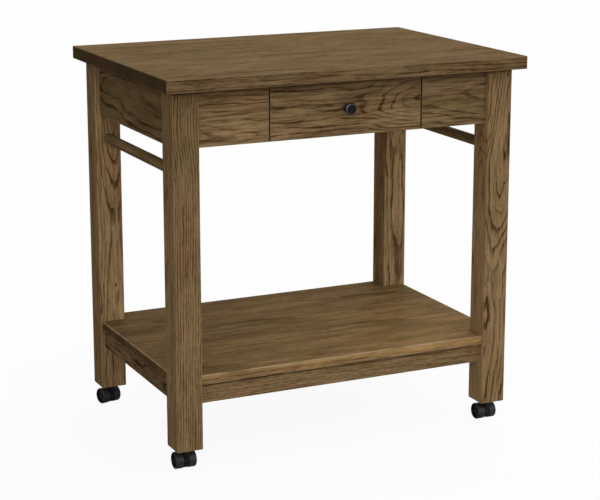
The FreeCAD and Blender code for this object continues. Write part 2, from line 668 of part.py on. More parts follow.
def makeSocket(side, end):
    """Sleeve pressed up into a leg's foot, with a rim under the leg and a closed end."""
    body = newBody("caster_socket", False)
    bore = "stemRadius + stemGap"
    turned(body, [(bore, "-socketRimThick"), ("socketRim", "-socketRimThick"), ("socketRim", "0"),
                  ("socketRadius", "0"), ("socketRadius", "socketDepth"), ("0", "socketDepth"),
                  ("0", "socketDepth - socketRoof"), (bore, "socketDepth - socketRoof")])
    place(body, "%d*legX" % side, "%d*legY" % end, "casterHeight")
    return body


def makeCaster(name, side, end, heading):
    """Twin-wheel caster turned by a heading about its stem; its origin is the floor under the stem."""
    turn = FreeCAD.Rotation(FreeCAD.Vector(0, 0, 1), number(heading))
    x, y = "%d*legX" % side, "%d*legY" % end
    body = newBody(name + "_swivel")
    flat = "flangeRadius - flangeEdge"
    turned(body, [("0", "flangeBase"), (flat, "flangeBase"), ("flangeRadius", "flangeBase + flangeEdge"),
                  ("flangeRadius", "flangeTop - flangeEdge"), (flat, "flangeTop"),
                  ("collarRadius", "flangeTop"), ("collarRadius", "collarTop"), ("stemRadius", "collarTop"),
                  ("stemRadius", "collarTop + stemLength - stemPoint"),
                  ("stemRadius - stemPoint", "collarTop + stemLength"), ("0", "collarTop + stemLength")])
    web = newSketch(body, "YZ_Plane")
    half = "webRadius - webInset"
    outline(web, [("trail - (%s)" % half, "wheelRadius"), ("trail + " + half, "wheelRadius"),
                  (flat, "flangeBase + flangeEdge"), ("-(%s)" % flat, "flangeBase + flangeEdge")])
    pad(body, web, "webThick", "Symmetric")
    disc = newSketch(body, "YZ_Plane")
    circle(disc, "webRadius", "trail", "wheelRadius")
    pad(body, disc, "webThick", "Symmetric")
    drill(body, "axleRadius + axleSeat", "webThick", "-webThick/2", "trail", "wheelRadius", (1, 0, 0))
    place(body, x, y, "0", turn)

    across = turn.multVec(FreeCAD.Vector(1, 0, 0))
    back = turn.multVec(FreeCAD.Vector(0, 1, 0))
    axleX = "%s + trail*%.9f" % (x, back.x)
    axleY = "%s + trail*%.9f" % (y, back.y)
    axle = newBody(name + "_axle")
    sketch = newSketch(axle, "XY_Plane")
    circle(sketch, "axleRadius")
    pad(axle, sketch, "2*(wheelInner + axleEnd)", "Symmetric")
    place(axle, axleX, axleY, "wheelRadius", FreeCAD.Rotation(FreeCAD.Vector(0, 0, 1), across))
    for way, word in SIDES:
        makeWheel("%s_wheel_%s" % (name, word), way, axleX, axleY, across)


def makeWheel(label, way, axleX, axleY, direction):
    """Wheel with a rounded outer shoulder, a dished face round its hub and a recess in its inner face."""
    body = newBody(label)
    bore = "axleRadius + axleGap"
    blind = "axleEnd + wheelGap/2"
    inside = "wheelRadius - wheelWall"
    lip = "wheelRadius - wheelShoulder - wheelLip"
    floor = "wheelWidth - wheelDish"
    turned(body, [(bore, "0"), ("hubRadius", "0"), ("hubRadius", "wheelRecess"), (inside, "wheelRecess"),
                  (inside, "0"), ("wheelRadius", "0"), ("wheelRadius", "wheelWidth"), (lip, "wheelWidth"),
                  (lip + " - wheelSlope", floor), ("hubRadius", floor), ("hubRadius", floor + " + hubRise"),
                  ("0", floor + " + hubRise"), ("0", blind), (bore, blind)])
    face, across = number("wheelWidth"), number("2*wheelRadius")
    ease(body, "wheelShoulder", lambda box: same(box.ZMin, face) and same(box.XLength, across))
    outward = direction * way
    spotX = "%s + wheelInner*%.9f" % (axleX, outward.x)
    spotY = "%s + wheelInner*%.9f" % (axleY, outward.y)
    place(body, spotX, spotY, "wheelRadius", FreeCAD.Rotation(FreeCAD.Vector(0, 0, 1), outward))


def checkAndWrite():
    """Stops on any failed object, then writes each piece's solids under its own name."""
    doc.recompute()
    for item in doc.Objects:
        if "Invalid" in item.State or "Error" in item.State:
            raise RuntimeError("%s failed: %s" % (item.Label, item.State))
    for piece in pieces:
        if piece.Shape.isNull() or not piece.Shape.isValid() or not piece.Shape.Solids:
            raise RuntimeError(piece.Label + " has no valid solid")
    os.makedirs("parts", exist_ok=True)
    for piece in pieces:
        piece.Shape.exportStep("parts/%s.step" % piece.Label)
    print(len(pieces), "pieces,", sum(len(piece.Shape.Solids) for piece in pieces), "solids")


HEADINGS = {"front_left": "frontLeftHeading", "front_right": "frontRightHeading",
            "back_left": "backLeftHeading", "back_right": "backRightHeading"}
TOP_SCREWS = ("topScrewInset - bayX", "0", "bayX - topScrewInset")
SHELF_SCREWS = ("shelfScrewInset - bayX", "0", "bayX - shelfScrewInset")
DRAWER_SCREWS = [("%d*(boxWidth/2 - boxScrewSide)" % side, level)
                 for side, word in SIDES for level in ("boxScrewEdge", "boxHigh - boxScrewEdge")]

fillSheet()
makeTop([(x, y) for x in TOP_SCREWS for y in ("frontRailY", "cleatFace + cleatSize/2")])
for end, side, word in CORNERS:
    makeLeg("leg_" + word, side, end)
makeAprons()
makeLowerRails()
makeShelf([(x, "%d*(railInY - cleatSize/2)" % end) for x in SHELF_SCREWS for end in (-1, 1)])
makeTowelBars()
makeFrontRails(TOP_SCREWS)
makeCleats(TOP_SCREWS, SHELF_SCREWS)
for end, side, word in CORNERS:
    makeCornerBlock("corner_block_" + word, side, end)
group("corner_bolts", [makeCornerBolt(side, end) for end, side, word in CORNERS])
makeRunners()
makeDrawerFront()
makeDrawerBox()
makeDrawerStop()
makeKnob()
makeScrews(TOP_SCREWS, SHELF_SCREWS)
group("caster_sockets", [makeSocket(side, end) for end, side, word in CORNERS])
for end, side, word in CORNERS:
    makeCaster("caster_" + word, side, end, HEADINGS[word])
checkAndWrite()
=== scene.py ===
import json
import math
import bpy
import numpy as np
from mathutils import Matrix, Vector


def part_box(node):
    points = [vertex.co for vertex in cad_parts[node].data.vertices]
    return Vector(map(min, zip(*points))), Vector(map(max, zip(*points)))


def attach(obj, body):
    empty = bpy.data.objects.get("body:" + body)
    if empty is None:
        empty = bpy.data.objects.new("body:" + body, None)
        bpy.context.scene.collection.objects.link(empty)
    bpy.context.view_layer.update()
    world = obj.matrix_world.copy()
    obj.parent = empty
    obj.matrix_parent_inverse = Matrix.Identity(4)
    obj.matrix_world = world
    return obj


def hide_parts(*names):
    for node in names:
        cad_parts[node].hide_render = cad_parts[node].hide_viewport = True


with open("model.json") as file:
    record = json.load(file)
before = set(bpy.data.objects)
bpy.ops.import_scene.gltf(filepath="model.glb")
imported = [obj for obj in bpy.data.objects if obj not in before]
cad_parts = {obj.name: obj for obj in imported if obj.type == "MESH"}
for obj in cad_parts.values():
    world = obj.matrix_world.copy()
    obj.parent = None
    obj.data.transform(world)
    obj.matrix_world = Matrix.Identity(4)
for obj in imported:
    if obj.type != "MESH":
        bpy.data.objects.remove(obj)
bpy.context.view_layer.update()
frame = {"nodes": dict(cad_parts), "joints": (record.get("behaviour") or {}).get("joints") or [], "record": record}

# Oak kitchen cart in metres. +X is the cart's right, +Y its back, +Z up. The frame holds the boards,
# legs and fixings; this script gives them their finishes and adds the turned and moulded pieces.


class Signal:  # a socket that Python's operators work on; each one adds its Math node
    def __init__(self, finish, socket):
        self.finish, self.socket = finish, socket

    def maths(self, operation, *values):
        return self.finish.node("Math", {"operation": operation}, dict(enumerate(values)))

    def __add__(self, other):
        return self.maths("ADD", self, other)

    def __sub__(self, other):
        return self.maths("SUBTRACT", self, other)

    def __rsub__(self, other):
        return self.maths("SUBTRACT", other, self)

    def __mul__(self, other):
        return self.maths("MULTIPLY", self, other)

    def __truediv__(self, other):
        return self.maths("DIVIDE", self, other)

    def __pow__(self, other):
        return self.maths("POWER", self, other)

    def __abs__(self):
        return self.maths("ABSOLUTE", self)

    def __neg__(self):
        return self.maths("MULTIPLY", self, -1.0)

    __radd__ = __add__
    __rmul__ = __mul__

    def most(self, other):
        return self.maths("MAXIMUM", self, other)

    def ramp(self, low, high, start=0.0, end=1.0):  # smooth step from low to high
        return self.finish.node("MapRange", {"interpolation_type": "SMOOTHSTEP"}, {
            "Value": self, "From Min": low, "From Max": high, "To Min": start, "To Max": end})


class Finish:  # the shader nodes of one material, or of the room
    def __init__(self, owner):
        owner.use_nodes = True
        self.owner, self.tree = owner, owner.node_tree
        self.tree.nodes.clear()

    def node(self, kind, settings=None, inputs=None, output=0):  # any node: settings first, then inputs
        made = self.tree.nodes.new("ShaderNode" + kind)
        for name, value in (settings or {}).items():
            setattr(made, name, value)
        for name, value in (inputs or {}).items():
            if isinstance(value, Signal):
                self.tree.links.new(value.socket, made.inputs[name])
            else:
                made.inputs[name].default_value = value
        return Signal(self, made.outputs[output]) if made.outputs else None

    def place(self):  # the point being shaded, in the piece's own coordinates
        return self.node("TexCoord", output="Object")

    def facing(self):  # the piece's own surface direction there
        return self.node("TexCoord", output="Normal")

    def split(self, vector):
        apart = self.node("SeparateXYZ", inputs={0: vector})
        return [Signal(self, socket) for socket in apart.socket.node.outputs]

    def join(self, x, y, z):
        return self.node("CombineXYZ", inputs={0: x, 1: y, 2: z})

    def noise(self, vector, scale=1.0, detail=2.0, roughness=0.5, output="Fac"):
        return self.node("TexNoise", {}, {"Vector": vector, "Scale": scale, "Detail": detail,
                                          "Roughness": roughness}, output)

    def chance(self, value):  # an unchanging random number from 0 to 1 for each value
        return self.node("TexWhiteNoise", {"noise_dimensions": "1D"}, {"W": value}, "Value")

    def blend(self, amount, first, second):  # colours, by an amount from 0 to 1
        return self.node("Mix", {"data_type": "RGBA"}, {0: amount, 6: first, 7: second}, 2)

    def dim(self, colour, amount):
        return self.node("VectorMath", {"operation": "SCALE"}, {0: colour, "Scale": amount})

    def close(self, shader, bump=None, reach=0.0003, **constants):  # the shader itself, and the output
        values = {**shader, **{name.replace("_", " "): value for name, value in constants.items()}}
        if bump is not None:
            values["Normal"] = self.node("Bump", {}, {"Height": bump, "Distance": reach, "Strength": 1.0})
        surface = self.node("BsdfPrincipled", {}, values)
        self.node("OutputMaterial", {}, {"Surface": surface})
        return self.owner


def newFinish(name):
    return Finish(bpy.data.materials.new(name))


def paint(red, green, blue):  # a colour given in 0-255, as the shader's linear light
    return tuple((v / 255 / 12.92 if v <= 10 else ((v / 255 + 0.055) / 1.055) ** 2.4)
                 for v in (red, green, blue)) + (1.0,)


oakStain = {
    "light": paint(148, 122, 89),     # late wood between the growth lines
    "dark": paint(60, 42, 23),        # early wood, where the stain sits
    "warm": paint(137, 103, 70),      # redder streaks
    "cool": paint(131, 114, 76),      # greener streaks
    "rubbed": paint(172, 152, 122),   # rubbed arrises, with a painted highlight on them
    "endShade": 0.55,                 # how far end grain darkens
    "wear": 0.2,                      # how far the arrises are rubbed light and painted with a highlight
    "varnish": 0.01,                  # the thin clear coat over it
    "roughness": 0.42,
}

clearWood = {
    "light": paint(196, 164, 118),
    "dark": paint(150, 112, 70),
    "warm": paint(192, 150, 104),
    "cool": paint(188, 162, 114),
    "rubbed": paint(206, 178, 136),
    "endShade": 0.3,
    "wear": 0.05,
    "varnish": 0.02,
    "roughness": 0.55,
}

growth = {
    "rise": 0.07,                     # share of a ring in which its dark early wood starts,
    "hold": 0.14,                     # in which it stays dark,
    "fade": 0.44,                     # and in which it has faded to late wood
    "slow": (2.4, 9.0),               # waver of the growth lines along and across, in cycles a metre,
    "quick": (11.0, 45.0),            # in three sizes
    "ragged": (60.0, 170.0),
    "streak": (15.0, 300.0),
    "fleck": (10.0, 150.0),
    "grit": (55.0, 360.0),
    "pore": (80.0, 1700.0),
    "patch": (5.0, 24.0),
    "blotch": (5.0, 17.0),
}

marks = {
    "line": 0.85,                     # how far a growth line darkens the wood,
    "thread": 0.12,                   # a thin line between two of them,
    "pore": 0.2,                      # and an open pore
    "end": (0.45, 0.75),              # even darkness of end grain, and how far it takes over
    "warm": 0.5,                      # how far the redder blotches take over,
    "cool": 0.6,                      # and the greener ones
    "strips": 0.14,                   # how far the strips of a glued board differ in brightness
    "arris": (0.0036, 0.0008),        # distance from an edge at which the rubbed wear and painted highlight start, and at which they are full
    "knot": (2.6, 2.0),               # a knot's length to its width, and how far it pushes the lines aside
    "relief": (0.7, 0.3, 0.0002),     # depth of a pore and of a growth line, as shares of the last number
}

usualBoard = {
    "ring": 0.0075,         # distance between growth lines
    "pith": (0.0, -0.05),   # the tree's middle at the board's middle: across the face, and in depth
    "slant": 0.0,           # how the pith drifts across the face along the board
    "lean": 0.0,            # how it drifts in depth
    "dips": (),             # stretches where it comes nearer: (start, end, amount)
    "wander": 0.007,        # how far the lines waver
    "jag": 0.0016,          # how ragged they are
    "figure": 0.9,          # strength of the growth lines on the face,
    "sideFigure": 0.45,     # and their share of that on the board's other long faces
    "ground": 0.3,          # how dark the wood is between the lines
    "streaks": 0.22,        # strength of the straight streaks
    "flecks": 0.3,          # of the long flecks
    "grit": 0.22,           # and of the short ones
    "uneven": 0.7,          # how much one ring differs from the next
    "mottle": 0.1,          # how much the brightness drifts along the board
    "rub": 1.0,             # how far its arrises are rubbed light and painted with a highlight
    # The other long faces' tone is partly the wood, partly painted light and shade for the light each face gets.
    "tone": 1.0,            # brightness of the whole board,
    "sideTone": 1.0,        # and how its other long faces differ
    "shades": (),           # painted shade: edges towards which the wood is painted darker, (axis, side, reach, brightness)
    "tint": {},             # values of the stain that differ on this board
    "seed": 0.0,            # another number gives other wood
    "knots": (),            # (along, across, radius)
    "staves": 0,            # edge-glued strips across the board
    "gloss": 0.0,           # how much smoother and shinier than usual the finish is
}

frames = {  # grain direction, direction across the face, outward direction, as signed axes
    "front upright": ("z", "x", "-y"),
    "front flat": ("x", "z", "-y"),
    "back flat": ("x", "z", "y"),
    "left flat": ("y", "z", "-x"),
    "right flat": ("y", "z", "x"),
    "level along x": ("x", "y", "z"),
}


def along(parts, axis):
    value = parts["xyz".index(axis[-1])]
    return -value if axis[0] == "-" else value


def woodFinish(name, node, facing, stain, **changes):
    # Growth rings are cylinders round a pith line that wavers: where a flat face cuts them at a slant
    # they show as nested arches. A ring is dark where it starts, broken up by streaks, and fades.
    board = {**usualBoard, **changes}
    stain = {**stain, **board["tint"]}
    seed = board["seed"]
    finish = newFinish(name)
    low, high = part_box(node)
    centre, half = (low + high) / 2, (high - low) / 2
    parts = finish.split(finish.node("VectorMath", {"operation": "SUBTRACT"}, {
        0: finish.place(), 1: centre}))
    u, v, w = [along(parts, axis) for axis in frames[facing]]
    w = w - half["xyz".index(frames[facing][2][-1])]
    normal = finish.split(finish.facing())
    endGrain = abs(along(normal, frames[facing][0])).ramp(0.55, 0.9)
    turned = abs(along(normal, frames[facing][2]))
    onFace = turned.ramp(0.4, 0.9, board["sideFigure"], 1.0)
    arrisFrom, arrisFull = marks["arris"]
    near = [abs(part).ramp(size - arrisFrom, size - arrisFull) for part, size in zip(parts, half)]
    arris = (near[0] * near[1]).most(near[1] * near[2]).most(near[0] * near[2])

    # Brightness of each face: the board's tone, and on its other long faces a share of painted light and shade.
    tone = turned.ramp(0.4, 0.9, board["tone"] * board["sideTone"], board["tone"])
    if board["staves"]:
        width = 2 * half["xyz".index(frames[facing][1][-1])] / board["staves"]
        strip = v / width
        jump = finish.chance(strip.maths("FLOOR", strip) + (seed + 0.37))
        v = (strip.maths("FRACT", strip) + (jump * 0.8 - 0.9)) * width
        u = u + jump * 2.3
        tone = tone * (1.0 - marks["strips"] / 2 + jump * marks["strips"])

    def grain(kind, detail=1.0, roughness=0.5, output="Fac"):  # noise drawn out along the grain
        lengthways, across = growth[kind]
        spot = finish.join(u * lengthways + seed, v * across, w * across)
        return finish.noise(spot, 1.0, detail, roughness, output)

    drift = finish.split(grain("slow", 2.0, 0.5, "Color"))
    depth = w - board["pith"][1] + u * board["lean"] + (drift[1] - 0.5) * (board["wander"] * 4)
    for start, end, amount in board["dips"]:
        depth = depth - u.ramp(start, end, 0.0, amount)
    side = v - board["pith"][0] - u * board["slant"] + (drift[0] - 0.5) * (board["wander"] * 4)
    radius = ((side * side + depth * depth) ** 0.5 + (grain("quick") - 0.5) * board["wander"]
              + (grain("ragged", 2.0, 0.6) - 0.5) * board["jag"])
    core = None
    knotLength, knotPush = marks["knot"]
    for reachU, reachV, size in board["knots"]:
        du, dv = (u - reachU) / (size * knotLength), (v - reachV) / size
        away = du * du + dv * dv
        fading = away * -0.35
        radius = radius + fading.maths("EXPONENT", fading) * (size * knotPush)
        heart = away.ramp(1.0, 0.15)
        core = heart if core is None else core.most(heart)

    rings = radius / board["ring"]
    rings = rings + finish.noise(finish.join(radius * 60.0 + seed, 0.0, 0.0), 1.0, 1.0) * 1.4
    phase = rings.maths("FRACT", rings)
    bold = finish.chance(rings.maths("FLOOR", rings)).ramp(0.0, 1.0, 1.0 - board["uneven"], 1.0)
    streak = grain("streak", 2.0, 0.6).ramp(0.3, 0.68)
    line = phase.ramp(0.0, growth["rise"]) * phase.ramp(growth["hold"], growth["fade"], 1.0, 0.0) * bold
    line = line * (0.6 + streak * 0.4)
    fine = rings * 3.0 + drift[2] * 2.0
    thread = fine.maths("PINGPONG", fine, 0.5).ramp(0.1, 0.45)
    strength = grain("patch", 3.0, 0.6).ramp(0.32, 0.6, 0.4, 1.0) * onFace * board["figure"]
    pore = grain("pore").ramp(0.55, 0.7) * (0.3 + line * 0.7)
    fleck = grain("fleck", 3.0, 0.62).ramp(0.33, 0.67)
    grit = grain("grit", 2.0, 0.6).ramp(0.3, 0.7)
    blotch = finish.split(grain("blotch", 3.0, 0.6, "Color"))

    darkness = (line * strength * marks["line"] + thread * strength * marks["thread"]
                + pore * marks["pore"] + board["ground"] + (streak - 0.5) * board["streaks"]
                + (fleck - 0.5) * board["flecks"] + (grit - 0.5) * board["grit"])
    if core is not None:
        darkness = darkness.most(core)
    endDarkness, endShare = marks["end"]
    darkness = darkness + (endDarkness - darkness) * (endGrain * endShare)
    colour = finish.blend(darkness.ramp(-0.1, 1.05), stain["light"], stain["dark"])
    for patch, hue in ((blotch[0], "warm"), (blotch[1], "cool")):
        colour = finish.blend(patch.ramp(0.45, 0.66, 0.0, marks[hue]), colour, finish.blend(
            darkness.ramp(0.0, 1.0), stain[hue], stain["dark"]))
    shade = blotch[2].ramp(0.25, 0.75, 1.0 - board["mottle"], 1.0 + board["mottle"])
    shade = shade * (1.0 - endGrain * stain["endShade"]) * tone
    # Painted shade: darker towards each listed edge, over its reach.
    for axis, side, reach, brightness in board["shades"]:
        inward = half["xyz".index(axis)] - along(parts, axis) * side
        shade = shade * inward.ramp(0.0, reach, brightness, 1.0)
    colour = finish.dim(colour, shade)
    # Arrises: rubbed lighter where the stain wears, with a painted highlight in dashes along them.
    rubbed = arris * streak.ramp(0.1, 0.7) * (stain["wear"] * board["rub"])
    colour = finish.blend(rubbed, colour, stain["rubbed"])
    roughness = (stain["roughness"] - board["gloss"]) + pore * 0.2 + (blotch[2] - 0.5) * 0.16
    poreDepth, lineDepth, relief = marks["relief"]
    height = 1.0 - pore * poreDepth - line * lineDepth * strength
    return finish.close({"Base Color": colour, "Roughness": roughness}, height, relief,
                        Specular_IOR_Level=0.0, Coat_Weight=stain["varnish"] + board["gloss"] * 0.15,
                        Coat_Roughness=0.3 - board["gloss"])


def dress(node, material):
    frame["nodes"][node].material_slots[0].material = material


# Painted shade along boards' edges: shadow under the worktop and under the shelf, shade in the gaps beside the
# drawer front, and both, softer, on the drawer front's edges.
shadowUnderTop = (("z", 1, 0.013, 0.1), ("z", 1, 0.032, 0.55))
shadowUnderShelf = (("z", 1, 0.008, 0.35),)
gapShade = (("x", 1, 0.003, 0.4), ("x", -1, 0.003, 0.4))
drawerEdgeShade = (("z", 1, 0.012, 0.32), ("z", 1, 0.032, 0.7),
               ("x", 1, 0.003, 0.55), ("x", -1, 0.003, 0.55))
oakBoards = {
    "worktop": ("level along x", {
        "staves": 5, "pith": (0.0, -0.05), "slant": 0.01, "figure": 0.4, "tone": 0.97, "ring": 0.006,
        "wander": 0.003, "jag": 0.0008, "flecks": 0.2, "streaks": 0.35, "grit": 0.3, "seed": 3.1,
        "sideFigure": 1.3, "sideTone": 0.84}),
    # The shelf is painted darker towards its back and its left, where the worktop shades it, and along its lower
    # edge above the rail: painted shade. Its arrises carry a strong painted highlight.
    "shelf": ("level along x", {
        "staves": 4, "pith": (0.0, -0.04), "slant": -0.02, "figure": 0.35, "tone": 1.12, "lean": 0.01,
        "flecks": 0.2, "streaks": 0.12, "mottle": 0.25, "ring": 0.012, "seed": 8.4, "gloss": 0.07,
        "sideFigure": 1.0, "rub": 5.0, "sideTone": 1.42,
        "tint": {"light": paint(151, 121, 80), "cool": paint(133, 113, 69)},
        "shades": (("y", 1, 0.5, 0.75), ("x", -1, 0.6, 0.8), ("z", -1, 0.006, 0.5))}),
    # The front legs are painted darker over their upper 0.6 m towards the worktop, as painted shade under it,
    # below a painted shadow line at their tops.
    "leg_front_left": ("front upright", {
        "pith": (-0.15, -0.05), "slant": 0.02, "ring": 0.0056, "figure": 0.85, "wander": 0.003,
        "jag": 0.0006, "streaks": 0.15, "flecks": 0.2, "dips": ((0.17, 0.34, -0.035),), "uneven": 0.35,
        "seed": 1.3, "tone": 1.19, "sideTone": 1.03, "shades": shadowUnderTop[:1] + (("z", 1, 0.6, 0.8),)}),
    "leg_front_right": ("front upright", {
        "pith": (-0.0055, -0.055), "slant": 0.125, "lean": 0.008, "dips": ((-0.1, 0.22, 0.045),),
        "seed": 5.2, "tone": 1.28, "wander": 0.011, "figure": 0.8, "ring": 0.009, "sideTone": 1.27,
        "streaks": 0.1, "flecks": 0.25, "grit": 0.14, "shades": shadowUnderTop[:1] + (("z", 1, 0.6, 0.9),),
        "knots": ((0.4, 0.02, 0.003),)}),
    # The back legs stand in the worktop's shade: their high tone is painted light against it, and the lower tone
    # of their faces turned left and right is painted shade.
    "leg_back_left": ("front upright", {
        "pith": (0.012, -0.045), "lean": 0.02, "seed": 7.7, "tone": 1.56, "ring": 0.006, "figure": 0.85,
        "streaks": 0.12, "grit": 0.16, "sideTone": 0.66, "dips": ((-0.05, 0.3, 0.025),),
        "knots": ((-0.149, 0.01, 0.003),)}),
    "leg_back_right": ("front upright", {
        "pith": (0.004, -0.05), "dips": ((0.15, 0.33, 0.03),), "ring": 0.008, "figure": 0.9,
        "streaks": 0.12, "grit": 0.16, "seed": 9.9, "tone": 1.45, "sideTone": 0.9}),
    "drawer_front": ("front flat", {
        "pith": (0.012, -0.055), "lean": 0.01, "dips": ((0.03, 0.2, 0.035),), "wander": 0.009,
        "jag": 0.002, "figure": 0.8, "streaks": 0.14, "flecks": 0.42, "grit": 0.16, "ring": 0.0085,
        "seed": 11.0, "mottle": 0.22, "shades": drawerEdgeShade}),
    "front_apron_left": ("front flat", {
        "pith": (-0.04, -0.06), "lean": 0.03, "wander": 0.01, "figure": 0.6, "jag": 0.002,
        "streaks": 0.14, "flecks": 0.4, "grit": 0.16, "seed": 12.0, "tone": 1.12,
        "shades": shadowUnderTop + gapShade[:1]}),
    "front_apron_right": ("front flat", {
        "pith": (0.01, -0.05), "dips": ((-0.12, 0.1, 0.035),), "lean": 0.02, "wander": 0.012,
        "ring": 0.012, "seed": 13.4, "figure": 0.6, "streaks": 0.14, "flecks": 0.5, "grit": 0.12,
        "tone": 0.93, "mottle": 0.16, "shades": shadowUnderTop + gapShade[1:]}),
    "side_apron_left": ("left flat", {
        "pith": (0.0, -0.05), "lean": 0.05, "wander": 0.014, "ring": 0.014, "seed": 14.0, "tone": 0.7,
        "figure": 0.75, "streaks": 0.05, "grit": 0.08, "flecks": 0.2, "mottle": 0.2, "shades": shadowUnderTop}),
    "side_apron_right": ("right flat", {
        "pith": (0.0, -0.05), "lean": 0.04, "seed": 15.0, "tone": 0.85, "shades": shadowUnderTop}),
    "back_apron": ("back flat", {
        "pith": (0.02, -0.05), "lean": 0.04, "dips": ((-0.3, 0.1, 0.03),), "seed": 16.0,
        "shades": shadowUnderTop}),
    "lower_rail_front": ("front flat", {
        "pith": (0.1, -0.06), "seed": 17.0, "figure": 0.7, "ring": 0.0055, "wander": 0.004, "jag": 0.001,
        "streaks": 0.15, "grit": 0.3, "tone": 1.05, "shades": shadowUnderShelf}),
    "lower_rail_back": ("back flat", {
        "pith": (0.1, -0.05), "seed": 18.0, "figure": 0.5, "ring": 0.005, "shades": shadowUnderShelf}),
    "lower_rail_left": ("left flat", {
        "pith": (0.0, -0.05), "lean": 0.05, "seed": 19.0, "tone": 0.8, "shades": shadowUnderShelf}),
    "lower_rail_right": ("right flat", {
        "pith": (0.1, -0.05), "seed": 20.0, "tone": 0.85, "shades": shadowUnderShelf}),
    "towel_bar_left": ("left flat", {
        "pith": (0.06, -0.05), "seed": 21.0, "figure": 0.4, "ring": 0.005, "tone": 0.85}),
    "towel_bar_right": ("right flat", {
        "pith": (0.06, -0.05), "seed": 22.0, "figure": 0.4, "ring": 0.005}),
    "front_top_rail": ("level along x", {"seed": 23.0}),
    "front_bottom_rail": ("level along x", {"seed": 24.0}),
}
for node, (facing, changes) in oakBoards.items():
    dress(node, woodFinish("stained oak " + node, node, facing, oakStain, **changes))
print("oak boards dressed:", len(oakBoards))


plainBoards = {
    "drawer_box_front": "front flat", "drawer_back": "front flat", "drawer_side_left": "left flat",
    "drawer_side_right": "right flat", "drawer_bottom": "level along x", "drawer_stop": "front flat",
    "drawer_runner_left": "left flat", "drawer_runner_right": "right flat",
    "drawer_kicker_left": "left flat", "drawer_kicker_right": "right flat", "back_cleat": "front flat",
    "shelf_cleat_front": "front flat", "shelf_cleat_back": "front flat",
    "corner_block_front_left": "level along x", "corner_block_front_right": "level along x",
    "corner_block_back_left": "level along x", "corner_block_back_right": "level along x",
}
for count, (node, facing) in enumerate(plainBoards.items()):
    dress(node, woodFinish("clear wood " + node, node, facing, clearWood, seed=31.0 + count * 2.7,
                           figure=0.6, pith=(0.03 + 0.01 * (count % 4), -0.06), ring=0.006, lean=0.02))
print("plain boards dressed:", len(plainBoards))


zinc = {"bright": (0.66, 0.67, 0.69, 1.0), "dull": (0.50, 0.50, 0.49, 1.0), "grain": 900.0,
        "roughness": 0.34}


def zincFinish():  # plated steel: bright, with dull crystals and a faint mottle in its gloss
    finish = newFinish("zinc plated steel")
    crystals = finish.noise(finish.place(), zinc["grain"], 2.0, 0.6)
    mottle = finish.noise(finish.place(), zinc["grain"] * 0.12, 2.0, 0.5)
    colour = finish.blend(crystals.ramp(0.35, 0.7), zinc["bright"], zinc["dull"])
    roughness = zinc["roughness"] + (mottle - 0.5) * 0.25
    return finish.close({"Base Color": colour, "Roughness": roughness}, crystals, 0.00004, Metallic=1.0)


plated = zincFinish()
steelNodes = [entry["node"] for entry in frame["record"]["subparts"]
              if entry["material_slot"] == "zinc_steel"]
for node in steelNodes:
    dress(node, plated)
print("steel fixings dressed:", len(steelNodes))


casterNylon = {"colour": paint(11, 11, 12), "dust": paint(30, 29, 28), "grain": 1800.0, "roughness": 0.42}
# A wheel's outer dish and hub are painted near black: painted shade in its hollow.
wheelNylon = {"colour": paint(44, 45, 48), "dust": paint(64, 62, 58), "grain": 2400.0, "roughness": 0.38,
              "hollow": paint(2, 2, 2)}


def mouldedFinish(name, colour, dust, grain, roughness, hollow=None):
    # Moulded plastic: fine sparkle, a little dust, and painted shade, a darker colour, where the mesh marks a
    # hollow.
    finish = newFinish(name)
    skin = finish.noise(finish.place(), grain, 3.0, 0.6)
    settled = finish.noise(finish.place(), 140.0, 3.0, 0.6).ramp(0.5, 0.8, 0.0, 0.35)
    tint = finish.blend(settled, colour, dust)
    if hollow is not None:
        inside = finish.node("Attribute", {"attribute_name": "hollow"}, {}, "Fac")
        tint = finish.blend(inside, tint, hollow)
    return finish.close({"Base Color": tint, "Roughness": roughness + (skin - 0.5) * 0.2 + settled * 0.3},
                        skin, 0.00005, Specular_IOR_Level=0.3)


casterPlastic = mouldedFinish("black nylon", **casterNylon)
wheelPlastic = mouldedFinish("black wheel nylon", **wheelNylon)


def meshPiece(name, points, faces, material, smoothAngle=35.0, hollow=None):
    mesh = bpy.data.meshes.new(name)
    mesh.from_pydata(points.tolist(), [], faces)
    mesh.validate()
    mesh.shade_smooth()
    mesh.set_sharp_from_angle(angle=math.radians(smoothAngle))
    mesh.materials.append(material)
    if hollow is not None:
        mesh.attributes.new("hollow", "FLOAT", "POINT").data.foreach_set("value", hollow)
    piece = bpy.data.objects.new(name, mesh)
    bpy.context.scene.collection.objects.link(piece)
    return piece


def wrapFaces(rows, around):  # quads between rings of points, and a fan to a single point at each end
    ring = np.arange(around)
    after = (ring + 1) % around
    first = 1 + np.arange(rows - 1)[:, None] * around
    quads = np.stack([first + ring, first + after, first + around + after, first + around + ring], axis=-1)
    last = 1 + (rows - 1) * around
    start = np.stack([np.zeros(around, int), after + 1, ring + 1], axis=-1)
    end = np.stack([np.full(around, 1 + rows * around), last + ring, last + after], axis=-1)
    return quads.reshape(-1, 4).tolist() + start.tolist() + end.tolist()


